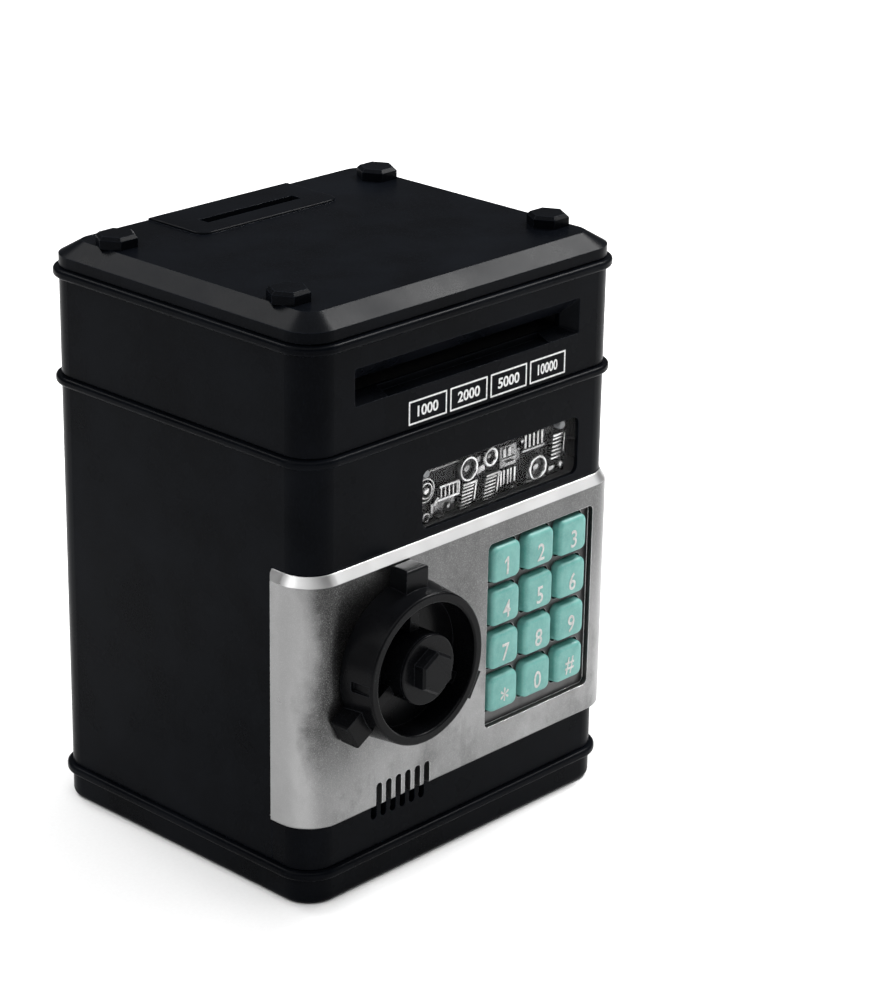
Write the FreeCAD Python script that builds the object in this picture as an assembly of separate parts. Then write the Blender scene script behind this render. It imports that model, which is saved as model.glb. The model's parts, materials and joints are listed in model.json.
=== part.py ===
import FreeCAD, Part

import math
import os

os.makedirs("parts", exist_ok=True)

# Toy cash machine savings bank, modelled in millimetres.
# Frame: +Z up, -Y is the front with the door, +X is the owner's right.
# The origin is the middle of the flat underside.

V = FreeCAD.Vector
X_AXIS = V(1, 0, 0)
Y_AXIS = V(0, 1, 0)
Z_AXIS = V(0, 0, 1)

# ---------------------------------------------------------------- driving dimensions
HALF_W = 67.0            # half width of the case walls
HALF_D = 57.0            # half depth of the case walls
CORNER = 10.0            # vertical corner radius of the case
WALL = 2.4               # moulded wall of the case
RIB = 1.8                # how far the three belt ribs stand out
RIB_ROUND = 1.1          # rounding of the belt ribs
GROOVE = 0.5             # shadow groove above each belt rib

Z_BASE_RIB = 8.6         # base rib, from here to the top of the base tray
Z_BASE = 11.6            # top of the base tray
Z_MID_RIB = 140.2        # middle rib, from here to the top of the main body
Z_BODY = 143.0           # top of the main body
Z_TOP_RIB = 174.2        # top rib, from here to the top of the upper housing
Z_HOUSING = 177.2        # top of the upper housing
Z_LID_WALL = 181.0       # where the lid's slope starts
Z_LID = 185.0            # flat top of the lid
LID_INSET = 6.4          # width of the lid's sloped border
BOLT_TOP = 188.8         # top of the hexagon heads

BOLT_X = 55.5            # hexagon heads and the lid's screws
BOLT_Y = 37.0
BOLT_R = 6.7             # corner radius of a hexagon head

DOOR_BOTTOM = 12.0
DOOR_TOP = 107.3
DOOR_WALL = 2.2
DOOR_LEFT_END = -41.6    # rear edge of the door's left return
BODY_LEFT_END = -41.3    # front edge of the body's left wall
BODY_RIGHT_END = -40.5   # and of its right wall, behind the hinge knuckle
HINGE_X = 64.9           # hinge axis, inside the right wall
HINGE_Y = -43.2
KNUCKLE_R = 2.05
PIN_R = 1.2
RUN = 0.05               # running clearance of pins and shafts

PLATE = 2.2              # how far the silver fascia stands out of the door
PLATE_BOTTOM = 26.5
PLATE_TOP = 107.2
PLATE_BEVEL = 3.0        # height of the bevel along the plate's upper edge
PLATE_LIP = 0.3          # what is left of its thickness at the very top
PLATE_LEFT_END = -42.0
PLATE_RIGHT_END = -47.0

KEY_X = (15.1, 30.5, 45.9)
KEY_Z = (90.5, 76.0, 61.5, 47.0)
KEY_NAMES = ("1", "2", "3", "4", "5", "6", "7", "8", "9", "star", "0", "hash")
KEY_HALF_X = 6.6
KEY_HALF_Z = 6.2
KEY_GAP = 0.3            # gap round each key in its window
KEY_FRONT = -60.4        # front face of a key at rest
KEY_TRAVEL = 1.5
TUB_X = (7.3, 55.9)      # keypad tub, inside its walls
TUB_Z = (36.2, 98.0)
TUB_WALL = 1.0

DIAL_X = -31.5
DIAL_Z = 73.0
DIAL_BACK = -59.5
DIAL_FRONT = -71.2
DIAL_R = 25.0            # radius of the dial at the fascia
DIAL_RIM_R = 23.7        # radius at its front rim
DIAL_CUP_R = 20.6        # radius of its hollow
DIAL_HUB_R = 11.0
DIAL_FLOOR = -62.0
SHAFT_R = 3.0
CAM_Y = -37.9
CAM_THICK = 2.0
CAM_REACH = 31.0

SLOT_HALF_X = 44.6       # bill slot, its narrow part
SLOT_Z = (158.0, 162.4)
FRAME_HALF_X = 48.7      # bill slot, its outer bevelled frame
FRAME_Z = (155.9, 167.4)
NOTCH_HALF_X = 35.0      # finger notch in its lower lip

COIN_X = -1.5
COIN_Y = 36.0
COIN_HALF_X = 20.0
COIN_WIDTH = 4.3

WINDOW_X = (-20.0, 50.0)
WINDOW_Z = (109.9, 128.7)

VENT_COUNT = 6
VENT_PITCH = 4.15
VENT_X = -28.9           # middle of the row of vents
VENT_HALF = 1.3
VENT_Z = (21.0, 34.2)
SPEAKER_Z = 31.0

GEAR_MODULE = 0.6
SMALL_TEETH = 10
LARGE_TEETH = 30
ROLLER_Y = -14.0
DRIVE_Z = 153.0
DRIVE_R = 7.0
PINCH_Z = 166.2
PINCH_R = 6.0
ROLLER_X = 25.5
ROLLER_WIDTH = 9.0
MOTOR_Y = -36.0
MOTOR_Z = 147.0

CELL_R = 7.15            # size AA cells
CELL_LENGTH = 50.5
CELL_PITCH = 15.2
CELL_Y = 46.4
BATTERY_HALF_X = 24.5
BATTERY_Z = (17.0, 79.0)
BATTERY_TOP = 72.0

SCREW_R = 1.2
SCREW_HOLE_R = 1.25
SCREW_FREE_R = 1.5
HEAD_R = 2.7
BOSS_R = 3.6

BASE_SCREWS = ((-59.0, 48.0), (59.0, 48.0), (-60.5, -30.0), (60.5, -30.0))
SIDE_SCREWS = ((-60.5, -40.0), (60.5, -33.0), (-60.5, 40.0), (60.5, 40.0))
KEYPAD_SCREWS = ((3.2, 35.8), (60.0, 35.8), (3.2, 101.0), (60.0, 101.0))
BOARD_SCREWS = ((-51.0, 114.5), (51.0, 114.5), (-51.0, 132.5), (51.0, 132.5))

MESH_DISTANCE = GEAR_MODULE * (SMALL_TEETH + LARGE_TEETH) / 2


# ---------------------------------------------------------------- shape helpers
def block(x0, x1, y0, y1, z0, z1):
    return Part.makeBox(x1 - x0, y1 - y0, z1 - z0, V(x0, y0, z0))


def rod_x(x0, x1, y, z, r):
    return Part.makeCylinder(r, x1 - x0, V(x0, y, z), X_AXIS)


def rod_y(x, y0, y1, z, r):
    return Part.makeCylinder(r, y1 - y0, V(x, y0, z), Y_AXIS)


def rod_z(x, y, z0, z1, r):
    return Part.makeCylinder(r, z1 - z0, V(x, y, z0), Z_AXIS)


def rounded_wire(a0, a1, b0, b1, r, place):
    """Rounded rectangle; place(a, b) turns its two coordinates into a point."""
    bend = r * (1 - math.sqrt(0.5))
    corners = (
        ((a1 - r, b0), (a1 - bend, b0 + bend), (a1, b0 + r)),
        ((a1, b1 - r), (a1 - bend, b1 - bend), (a1 - r, b1)),
        ((a0 + r, b1), (a0 + bend, b1 - bend), (a0, b1 - r)),
        ((a0, b0 + r), (a0 + bend, b0 + bend), (a0 + r, b0)),
    )
    edges = []
    for index, (start, middle, end) in enumerate(corners):
        edges.append(Part.Arc(place(*start), place(*middle), place(*end)).toShape())
        following = corners[(index + 1) % 4][0]
        edges.append(Part.LineSegment(place(*end), place(*following)).toShape())
    return Part.Wire(edges)


def slab_z(x0, x1, y0, y1, z0, z1, r):
    """Plate with corners rounded about Z."""
    wire = rounded_wire(x0, x1, y0, y1, r, lambda a, b: V(a, b, z0))
    return Part.Face(wire).extrude(V(0, 0, z1 - z0))


def slab_y(x0, x1, z0, z1, y0, y1, r):
    """Plate with corners rounded about Y."""
    wire = rounded_wire(x0, x1, z0, z1, r, lambda a, b: V(a, y0, b))
    return Part.Face(wire).extrude(V(0, y1 - y0, 0))


def case_slab(grow, z0, z1):
    """Solid with the case's outline, grown outwards or shrunk inwards."""
    half_w = HALF_W + grow
    half_d = HALF_D + grow
    return slab_z(-half_w, half_w, -half_d, half_d, z0, z1, CORNER + grow)


def case_wall(z0, z1):
    return case_slab(0, z0, z1).cut(case_slab(-WALL, z0, z1))


def belt_rib(z0, z1):
    """Half-round belt that runs round the outside of the case."""
    belt = case_slab(RIB, z0, z1)
    rims = [edge for edge in belt.Edges if edge.BoundBox.ZLength < 0.001]
    belt = belt.makeFillet(RIB_ROUND, rims)
    return belt.cut(case_slab(-WALL / 2, z0, z1))


def shadow_groove(z0):
    """Ring that is cut away to leave a dark line above a belt rib."""
    return case_slab(1, z0, z0 + GROOVE).cut(case_slab(-GROOVE, z0, z0 + GROOVE))


def edges_where(shape, test):
    return [edge for edge in shape.Edges if test(edge.BoundBox)]


def round_front(shape, y, r):
    """Round the edges that lie in the plane at y."""
    front = edges_where(shape, lambda box: abs(box.YMin - y) < 0.001 and abs(box.YMax - y) < 0.001)
    return shape.makeFillet(r, front)


def round_top(shape, z, r):
    top = edges_where(shape, lambda box: abs(box.ZMin - z) < 0.001 and abs(box.ZMax - z) < 0.001)
    return shape.makeFillet(r, top)


def hexagon(x, y, z, r, axis, length, turn=0.0):
    """Hexagonal prism along Z or -Y, with a corner at the turn angle."""
    points = []
    for step in range(7):
        angle = math.radians(turn + 60 * step)
        across = r * math.cos(angle)
        along = r * math.sin(angle)
        if axis == "z":
            points.append(V(x + across, y + along, z))
        else:
            points.append(V(x + across, y, z + along))
    direction = V(0, 0, length) if axis == "z" else V(0, -length, 0)
    return Part.Face(Part.makePolygon(points)).extrude(direction)


def screw_up(x, y, z_head, length):
    """Pan-head screw that is driven upwards from z_head."""
    head = rod_z(x, y, z_head - 2.0, z_head, HEAD_R)
    head = head.makeFillet(0.6, edges_where(head, lambda box: box.ZMax < z_head - 1.9))
    cross = block(x - 1.5, x + 1.5, y - 0.3, y + 0.3, z_head - 2.1, z_head - 1.2)
    cross = cross.fuse(block(x - 0.3, x + 0.3, y - 1.5, y + 1.5, z_head - 2.1, z_head - 1.2))
    return head.cut(cross).fuse(rod_z(x, y, z_head, z_head + length, SCREW_R))


def screw_front(x, y_head, z, length, head_r=2.0, shank_r=0.95):
    """Small screw that is driven towards the front from y_head."""
    head = rod_y(x, y_head, y_head + 1.2, z, head_r)
    cross = block(x - 1.2, x + 1.2, y_head + 0.6, y_head + 1.3, z - 0.25, z + 0.25)
    cross = cross.fuse(block(x - 0.25, x + 0.25, y_head + 0.6, y_head + 1.3, z - 1.2, z + 1.2))
    return head.cut(cross).fuse(rod_y(x, y_head - length, y_head, z, shank_r))


def save(name, shape):
    """Write one named piece; a list is a group of separate solids."""
    if isinstance(shape, list):
        shape = Part.makeCompound([solid for piece in shape for solid in piece.Solids])
    else:
        shape = shape.removeSplitter()
    shape.exportStep("parts/" + name + ".step")


# ---------------------------------------------------------------- case
def base_tray():
    """Floor of the bank with its plinth, base rib, screw bosses and lower hinge socket."""
    plinth = case_slab(0, 0, Z_BASE)
    plinth = plinth.makeFillet(2.0, edges_where(plinth, lambda box: box.ZMax < 0.001))
    tray = plinth.fuse(belt_rib(Z_BASE_RIB, Z_BASE))
    tray = tray.cut(case_slab(-WALL, WALL, Z_BASE))
    tray = tray.fuse(block(60.5, 65.5, -48.0, -39.0, WALL / 2, Z_BASE))
    tray = tray.cut(rod_z(HINGE_X, HINGE_Y, 5.5, Z_BASE, PIN_R + RUN))
    for x, y in BASE_SCREWS:
        tray = tray.fuse(rod_z(x, y, WALL / 2, Z_BASE, BOSS_R))
        tray = tray.cut(rod_z(x, y, -1, Z_BASE + 1, SCREW_FREE_R))
        tray = tray.cut(rod_z(x, y, -1, 3.4, HEAD_R + 0.4))
    return tray


def main_body():
    """Side, back and upper front walls, with the window, latch strike and battery opening."""
    body = case_wall(Z_BASE, Z_BODY).fuse(belt_rib(Z_MID_RIB, Z_BODY))
    doorway_top = DOOR_TOP + 0.3
    body = body.cut(block(-70, 0, -60, BODY_LEFT_END, Z_BASE - 1, doorway_top))
    body = body.cut(block(0, 70, -60, BODY_RIGHT_END, Z_BASE - 1, doorway_top))
    body = body.cut(shadow_groove(Z_BASE))
    body = body.fuse(block(60.5, 65.5, -48.0, -39.0, doorway_top, doorway_top + 6.4))
    body = body.cut(rod_z(HINGE_X, HINGE_Y, doorway_top - 1, doorway_top + 5.4, PIN_R + RUN))
    body = body.cut(slab_y(*WINDOW_X, *WINDOW_Z, -58, -54, 2.5))
    body = body.cut(slab_y(WINDOW_X[0] - 2, WINDOW_X[1] + 2, 108.7, 130.0, -55.6, -54, 2.5))
    body = body.fuse(block(-65.5, -59.6, BODY_LEFT_END, BODY_LEFT_END + 3.0, 62.0, 84.0))
    for x, y in BASE_SCREWS:
        boss = rod_z(x, y, Z_BASE, 26.0, BOSS_R)
        web_end = 65.0 if x > 0 else -65.0
        boss = boss.fuse(block(min(x, web_end), max(x, web_end), y - 1.5, y + 1.5, Z_BASE, 26.0))
        body = body.fuse(boss).cut(rod_z(x, y, Z_BASE - 1, 24.0, SCREW_HOLE_R))
    for x, y in SIDE_SCREWS:
        lug = rod_z(x, y, 135.0, Z_BODY, BOSS_R)
        web_end = 65.0 if x > 0 else -65.0
        lug = lug.fuse(block(min(x, web_end), max(x, web_end), y - 3.6, y + 3.6, 135.0, Z_BODY))
        body = body.fuse(lug).cut(rod_z(x, y, 134.0, Z_BODY + 1, SCREW_FREE_R))
    return body.cut(slab_y(-BATTERY_HALF_X, BATTERY_HALF_X, *BATTERY_Z, 54, 58, 2.0))


def slot_frame():
    """Bevelled picture frame that narrows to the bill slot, as the space to cut away."""
    outer = rounded_wire(-FRAME_HALF_X, FRAME_HALF_X, *FRAME_Z, 0.8, lambda a, b: V(a, -57.01, b))
    inner = rounded_wire(-SLOT_HALF_X, SLOT_HALF_X, *SLOT_Z, 0.4, lambda a, b: V(a, -52.4, b))
    funnel = Part.makeLoft([outer, inner], True, True)
    through = slab_y(-SLOT_HALF_X, SLOT_HALF_X, *SLOT_Z, -53.0, -49.0, 0.4)
    notch = slab_y(-NOTCH_HALF_X, NOTCH_HALF_X, FRAME_Z[0], SLOT_Z[1], -58.0, -51.8, 0.4)
    return funnel.fuse(through).fuse(notch)


def upper_housing():
    """Head of the bank with the bill slot in its front wall."""
    housing = case_wall(Z_BODY, Z_HOUSING).fuse(belt_rib(Z_TOP_RIB, Z_HOUSING))
    housing = housing.cut(shadow_groove(Z_BODY))
    housing = housing.fuse(block(-52, 52, -55.5, -50.5, 152.0, 171.0)).cut(slot_frame())
    for x, y in SIDE_SCREWS:
        boss = rod_z(x, y, Z_BODY, 154.0, BOSS_R)
        web_end = 65.0 if x > 0 else -65.0
        boss = boss.fuse(block(min(x, web_end), max(x, web_end), y - 1.5, y + 1.5, Z_BODY, 154.0))
        housing = housing.fuse(boss).cut(rod_z(x, y, Z_BODY - 1, 152.0, SCREW_HOLE_R))
    for sign_x in (-1, 1):
        for sign_y in (-1, 1):
            x = sign_x * BOLT_X
            y = sign_y * BOLT_Y
            ends = sorted((sign_x * 65.0, sign_x * 51.0))
            lug = block(ends[0], ends[1], y - 4.0, y + 4.0, 169.0, 172.0)
            housing = housing.fuse(lug).cut(rod_z(x, y, 168.0, 173.0, SCREW_FREE_R))
    return housing


def lid():
    """Sloped cover with the coin slot in a raised panel and bosses for its screws."""
    low = rounded_wire(-HALF_W, HALF_W, -HALF_D, HALF_D, CORNER, lambda a, b: V(a, b, Z_LID_WALL))
    top_w = HALF_W - LID_INSET
    top_d = HALF_D - LID_INSET
    high = rounded_wire(-top_w, top_w, -top_d, top_d, 5.0, lambda a, b: V(a, b, Z_LID))
    cover = case_slab(0, Z_HOUSING, Z_LID_WALL).fuse(Part.makeLoft([low, high], True, True))
    cover = cover.removeSplitter()
    cover = cover.cut(case_slab(-WALL, Z_HOUSING, 179.8))
    cover = cover.cut(slab_z(-59.5, 59.5, -49.5, 49.5, 179.0, 182.4, 5.0))
    cover = cover.cut(shadow_groove(Z_HOUSING))
    panel = slab_z(COIN_X - 29.5, COIN_X + 29.5, 26.0, 60.0, 184.0, 185.8, 4.0)
    panel = panel.common(block(-50, 50, 20, top_d, 183, 187))
    cover = cover.fuse(round_top(panel, 185.8, 0.6))
    half = COIN_WIDTH / 2
    coin = block(COIN_X - COIN_HALF_X, COIN_X + COIN_HALF_X, COIN_Y - half, COIN_Y + half, 180, 188)
    cover = cover.cut(coin)
    for sign_x in (-1, 1):
        for sign_y in (-1, 1):
            x = sign_x * BOLT_X
            y = sign_y * BOLT_Y
            cover = cover.fuse(rod_z(x, y, 172.2, 183.0, BOSS_R))
            cover = cover.cut(rod_z(x, y, 172.0, 181.0, SCREW_HOLE_R))
            cover = cover.cut(rod_z(x, y, 182.9, 186.0, 2.6))
    return cover


def lid_bolts():
    """Four hexagon heads with bevelled crowns, each on a short stem in the lid."""
    heads = []
    for sign_x in (-1, 1):
        for sign_y in (-1, 1):
            x = sign_x * BOLT_X
            y = sign_y * BOLT_Y
            head = hexagon(x, y, Z_LID, BOLT_R, "z", BOLT_TOP - Z_LID)
            crown = edges_where(head, lambda box: box.ZMin > BOLT_TOP - 0.001)
            head = head.makeChamfer(1.0, crown)
            heads.append(head.fuse(rod_z(x, y, 183.0, Z_LID, 2.5)))
    return heads


def coin_chute():
    """Open tube under the coin slot that keeps coins clear of the bill feed."""
    tube = block(COIN_X - 23.0, COIN_X + 23.0, COIN_Y - 6.0, COIN_Y + 6.0, 146.0, 182.4)
    flange = block(COIN_X - 27.0, COIN_X + 27.0, COIN_Y - 9.0, COIN_Y + 9.0, 181.2, 182.4)
    hollow = block(COIN_X - 21.8, COIN_X + 21.8, COIN_Y - 4.8, COIN_Y + 4.8, 145.0, 183.0)
    return tube.fuse(flange).cut(hollow)


# ---------------------------------------------------------------- window and electronics bay
def window_lens():
    """Clear pane that is seated from behind; its front pad fills the window."""
    pane = slab_y(WINDOW_X[0] - 1.8, WINDOW_X[1] + 1.8, 108.9, 129.8, -55.6, -54.4, 2.3)
    pad = slab_y(WINDOW_X[0] + 0.1, WINDOW_X[1] - 0.1, 110.0, 128.6, -56.3, -55.5, 2.4)
    return pane.fuse(pad)


def window_relief():
    """Decorative moulded machinery behind the window."""
    relief = slab_y(-19.6, 49.6, 109.5, 129.3, -52.0, -50.8, 1.5)
    for x, z in ((-3.0, 123.0), (7.5, 124.4), (30.0, 122.5)):
        ring = rod_y(x, -54.1, -51.9, z, 4.0).cut(rod_y(x, -54.2, -53.0, z, 2.8))
        relief = relief.fuse(ring)
    for x, z in ((-5.0, 113.2), (6.5, 113.6), (38.5, 113.0)):
        for step in range(5):
            low = z - 2.6 + 1.9 * step
            relief = relief.fuse(block(x - 3.0, x + 3.0, -53.8, -51.9, low, low + 1.1))
    for step in range(5):
        left = 13.5 + 2.0 * step
        relief = relief.fuse(block(left, left + 1.1, -53.6, -51.9, 113.0, 121.0))
    return relief


def status_leds():
    """Locked and unlocked lamps, seated in the relief plate."""
    lamps = []
    for x in (-15.5, 45.5):
        lamp = rod_y(x, -53.4, -52.0, 126.0, 1.5)
        lamps.append(lamp.fuse(Part.makeSphere(1.5, V(x, -53.4, 126.0))).common(
            block(x - 2, x + 2, -54.3, -52.0, 124, 128)))
    return lamps


def bay_divider():
    """L-shaped shelf and wall that close the electronics bay off from the money."""
    shelf = slab_z(-64.4, 64.4, -54.2, 20.0, 107.8, 109.3, 7.4)
    shelf = shelf.common(block(-65, 65, -55, -16.0, 107, 110))
    shelf = shelf.cut(block(60.2, 66, -55, -38.6, 107, 110))
    wall = block(-64.4, 64.4, -17.6, -16.0, 107.8, 134.6)
    divider = shelf.fuse(wall)
    for x, z in BOARD_SCREWS:
        divider = divider.fuse(rod_y(x, -19.4, -17.0, z, 2.6))
        divider = divider.cut(rod_y(x, -20.0, -16.4, z, 1.0))
    return divider


def main_board():
    board = slab_y(-55.0, 55.0, 111.0, 136.0, -21.0, -19.4, 1.0)
    for x, z in BOARD_SCREWS:
        board = board.cut(rod_y(x, -22.0, -19.0, z, 1.1))
    return board


def board_components():
    """Chips, capacitors, sounder driver and plug sockets on the front of the main board."""
    pieces = [
        block(-12.0, 6.0, -23.4, -21.0, 118.0, 128.0),
        block(22.0, 30.0, -22.6, -21.0, 116.0, 124.0),
        block(-40.0, -31.0, -26.5, -21.0, 128.0, 134.0),
        block(32.0, 44.0, -26.5, -21.0, 127.0, 133.5),
    ]
    for x, z, r, length in ((-24.0, 119.0, 3.2, 9.0), (14.0, 131.0, 2.6, 7.0), (-36.0, 118.0, 4.0, 6.5)):
        pieces.append(rod_y(x, -21.0 - length, -21.0, z, r))
    return pieces


def board_screws():
    screws = []
    for x, z in BOARD_SCREWS:
        head = rod_y(x, -22.2, -21.0, z, 2.0)
        slit = block(x - 1.4, x + 1.4, -22.3, -21.7, z - 0.25, z + 0.25)
        screws.append(head.cut(slit).fuse(rod_y(x, -21.0, -16.9, z, 0.95)))
    return screws


# ---------------------------------------------------------------- bill feed
def idler_place():
    """Centre of the compound gear, one mesh distance from the motor and from the roller."""
    dy = ROLLER_Y - MOTOR_Y
    dz = DRIVE_Z - MOTOR_Z
    span = math.hypot(dy, dz)
    lift = math.sqrt(MESH_DISTANCE ** 2 - (span / 2) ** 2)
    middle_y = (ROLLER_Y + MOTOR_Y) / 2
    middle_z = (DRIVE_Z + MOTOR_Z) / 2
    return middle_y + lift * dz / span, middle_z - lift * dy / span


def gear(teeth, y, z, x0, x1, bore, first_tooth):
    """Spur gear about X; first_tooth is the angle of one tooth, from +Y towards +Z."""
    pitch_r = GEAR_MODULE * teeth / 2
    tip_r = pitch_r + 0.75 * GEAR_MODULE
    root_r = pitch_r - 1.05 * GEAR_MODULE
    pressure = math.radians(20.0)
    base_r = pitch_r * math.cos(pressure)
    roll_at_pitch = math.tan(pressure) - pressure
    half_tooth = math.pi / (2 * teeth) - 0.05 / pitch_r
    flank = []
    low_r = max(base_r, root_r)
    for step in range(4):
        r = low_r + (tip_r - low_r) * step / 3
        angle = math.acos(min(1.0, base_r / r))
        flank.append((r, half_tooth + roll_at_pitch - (math.tan(angle) - angle)))
    if root_r < low_r:
        flank.insert(0, (root_r, flank[0][1]))
    points = []
    for tooth in range(teeth):
        centre = first_tooth + 2 * math.pi * tooth / teeth
        side = [(r, centre - half) for r, half in flank]
        side += [(r, centre + half) for r, half in reversed(flank)]
        points += [V(x0, y + r * math.cos(a), z + r * math.sin(a)) for r, a in side]
    points.append(points[0])
    wheel = Part.Face(Part.makePolygon(points)).extrude(V(x1 - x0, 0, 0))
    if bore:
        wheel = wheel.cut(rod_x(x0 - 1, x1 + 1, y, z, bore))
    return wheel


def mesh_angles():
    """Tooth angles that put the pinion, the compound gear and the roller gear in mesh."""
    idler_y, idler_z = idler_place()
    to_motor = math.atan2(MOTOR_Z - idler_z, MOTOR_Y - idler_y)
    to_roller = math.atan2(DRIVE_Z - idler_z, ROLLER_Y - idler_y)
    return to_motor, to_roller


def feed_chassis():
    """Moulded tray and side plates that carry the bill, the rollers and the gears."""
    tray = block(-46.5, 46.5, -50.2, 2.0, 156.0, 157.6)
    for side in (-1, 1):
        ends = sorted((side * 46.0, side * 47.8))
        tray = tray.fuse(block(ends[0], ends[1], -50.2, 2.0, 144.0, 171.0))
        ends = sorted((side * 47.0, side * 64.6))
        tray = tray.fuse(block(ends[0], ends[1], -46.9, -42.0, 163.0, 165.0))
        ends = sorted((side * (ROLLER_X - 5.5), side * (ROLLER_X + 5.5)))
        tray = tray.cut(block(ends[0], ends[1], ROLLER_Y - 7.0, ROLLER_Y + 7.0, 155.0, 158.0))
    tray = tray.fuse(block(-47.8, -46.0, -48.0, -18.4, 136.5, 145.0))
    tray = tray.cut(rod_x(-60, 60, ROLLER_Y, DRIVE_Z, 1.5 + RUN))
    tray = tray.cut(rod_x(-60, 60, ROLLER_Y, PINCH_Z, 1.5 + RUN))
    tray = tray.cut(rod_x(-60, -40, MOTOR_Y, MOTOR_Z, 3.1))
    idler_y, idler_z = idler_place()
    return tray.cut(rod_x(-60, -40, idler_y, idler_z, 1.5))


def feed_top_guide():
    """Plate above the bill, turned up at the mouth, with windows for the pinch rollers."""
    guide = block(-45.9, 45.9, -47.0, 2.0, 162.6, 164.2)
    lip = block(-44.0, 44.0, -50.4, -47.0, 163.6, 164.6).fuse(block(-44, 44, -48.0, -46.5, 162.6, 164.6))
    guide = guide.fuse(lip)
    for side in (-1, 1):
        ends = sorted((side * (ROLLER_X - 5.5), side * (ROLLER_X + 5.5)))
        guide = guide.cut(block(ends[0], ends[1], ROLLER_Y - 6.6, ROLLER_Y + 6.6, 162.0, 165.0))
    return guide


def rollers(z, r):
    pair = []
    for side in (-1, 1):
        middle = side * ROLLER_X
        left = middle - ROLLER_WIDTH / 2
        right = middle + ROLLER_WIDTH / 2
        pair.append(rod_x(left, right, ROLLER_Y, z, r).cut(rod_x(left - 1, right + 1, ROLLER_Y, z, 1.52)))
    return pair


def bill_motor():
    """Flat-sided motor can with its nose in the left side plate."""
    can = rod_x(-45.9, -21.0, MOTOR_Y, MOTOR_Z, 10.0)
    can = can.common(block(-60, 0, -60, 0, MOTOR_Z - 7.5, MOTOR_Z + 7.5))
    nose = rod_x(-47.7, -45.9, MOTOR_Y, MOTOR_Z, 3.0)
    tail = rod_x(-21.0, -19.0, MOTOR_Y, MOTOR_Z, 4.0)
    return can.fuse(nose).fuse(tail).cut(rod_x(-48, -40, MOTOR_Y, MOTOR_Z, 1.0 + RUN))


def motor_pinion():
    to_motor, _ = mesh_angles()
    wheel = gear(SMALL_TEETH, MOTOR_Y, MOTOR_Z, -51.2, -48.4, 0, to_motor + math.pi)
    return wheel.fuse(rod_x(-48.5, -41.0, MOTOR_Y, MOTOR_Z, 1.0))


def compound_gear():
    """Large wheel driven by the pinion, fused to a small one that drives the roller."""
    idler_y, idler_z = idler_place()
    to_motor, to_roller = mesh_angles()
    half_gap = math.pi / LARGE_TEETH
    large = gear(LARGE_TEETH, idler_y, idler_z, -51.2, -48.4, 0, to_motor + half_gap)
    small = gear(SMALL_TEETH, idler_y, idler_z, -54.6, -51.1, 0, to_roller)
    return large.fuse(small).cut(rod_x(-56, -48, idler_y, idler_z, 1.5 + RUN))


def idler_axle():
    idler_y, idler_z = idler_place()
    axle = rod_x(-55.6, -46.0, idler_y, idler_z, 1.5)
    return axle.fuse(rod_x(-55.8, -55.0, idler_y, idler_z, 2.4))


def roller_gear():
    _, to_roller = mesh_angles()
    half_gap = math.pi / LARGE_TEETH
    return gear(LARGE_TEETH, ROLLER_Y, DRIVE_Z, -54.4, -51.7, 1.5, to_roller + math.pi + half_gap)


# ---------------------------------------------------------------- battery compartment
def battery_box():
    """Tub for three cells that is open to the back of the bank."""
    tub = block(-BATTERY_HALF_X - 1.8, BATTERY_HALF_X + 1.8, 37.2, 54.6, 15.2, 80.8)
    tub = tub.cut(block(-BATTERY_HALF_X, BATTERY_HALF_X, 39.0, 55.0, BATTERY_Z[0], BATTERY_TOP))
    tub = tub.cut(block(-BATTERY_HALF_X, -5.0, 39.0, 55.0, BATTERY_TOP + 1.5, BATTERY_Z[1]))
    tub = tub.cut(block(5.0, BATTERY_HALF_X, 39.0, 55.0, BATTERY_TOP + 1.5, BATTERY_Z[1]))
    return tub.cut(rod_y(0, 44.0, 55.0, 75.5, SCREW_HOLE_R))


def aa_cells():
    cells = []
    for index in (-1, 0, 1):
        x = index * CELL_PITCH
        low = 18.4
        cell = rod_z(x, CELL_Y, low, low + CELL_LENGTH - 1.2, CELL_R)
        cell = cell.makeFillet(0.5, edges_where(cell, lambda box: box.ZLength < 0.001))
        top = low + CELL_LENGTH - 1.2
        if index == 0:
            nub = rod_z(x, CELL_Y, low - 1.2, low + 0.1, 2.7)
        else:
            nub = rod_z(x, CELL_Y, top - 0.1, top + 1.2, 2.7)
        cells.append(cell.fuse(nub))
    return cells


def battery_contacts():
    """Spring pads and plates at both ends of the cells."""
    pads = []
    for index in (-1, 0, 1):
        x = index * CELL_PITCH
        pads.append(block(x - 5.0, x + 5.0, 41.5, 51.5, 71.5, 72.0).fuse(
            rod_z(x, CELL_Y, 69.4 if index else 69.0, 71.6, 3.2 if index == 0 else 1.6)))
        low_gap = 17.0 if index == 0 else 18.2
        if index:
            pads.append(block(x - 5.0, x + 5.0, 41.5, 51.5, 17.0, 17.3).fuse(
                rod_z(x, CELL_Y, 17.2, low_gap, 3.2)))
    return pads


def battery_cover():
    """Flush rear cover with finger grooves and one screw."""
    cover = slab_y(-24.2, 24.2, 17.3, 78.7, 54.9, 57.0, 1.8)
    for step in range(6):
        z = 24.0 + 2.6 * step
        cover = cover.cut(block(-9.0, 9.0, 56.4, 57.5, z, z + 1.2))
    cover = cover.cut(rod_y(0, 54, 58, 75.5, SCREW_FREE_R))
    return cover.cut(rod_y(0, 55.9, 58, 75.5, HEAD_R + 0.2))


def battery_screw():
    head = rod_y(0, 55.9, 56.8, 75.5, HEAD_R)
    slit = block(-1.5, 1.5, 56.3, 57, 75.2, 75.8).fuse(block(-0.3, 0.3, 56.3, 57, 74.0, 77.0))
    return head.cut(slit).fuse(rod_y(0, 46.0, 56.0, 75.5, SCREW_R))


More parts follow.
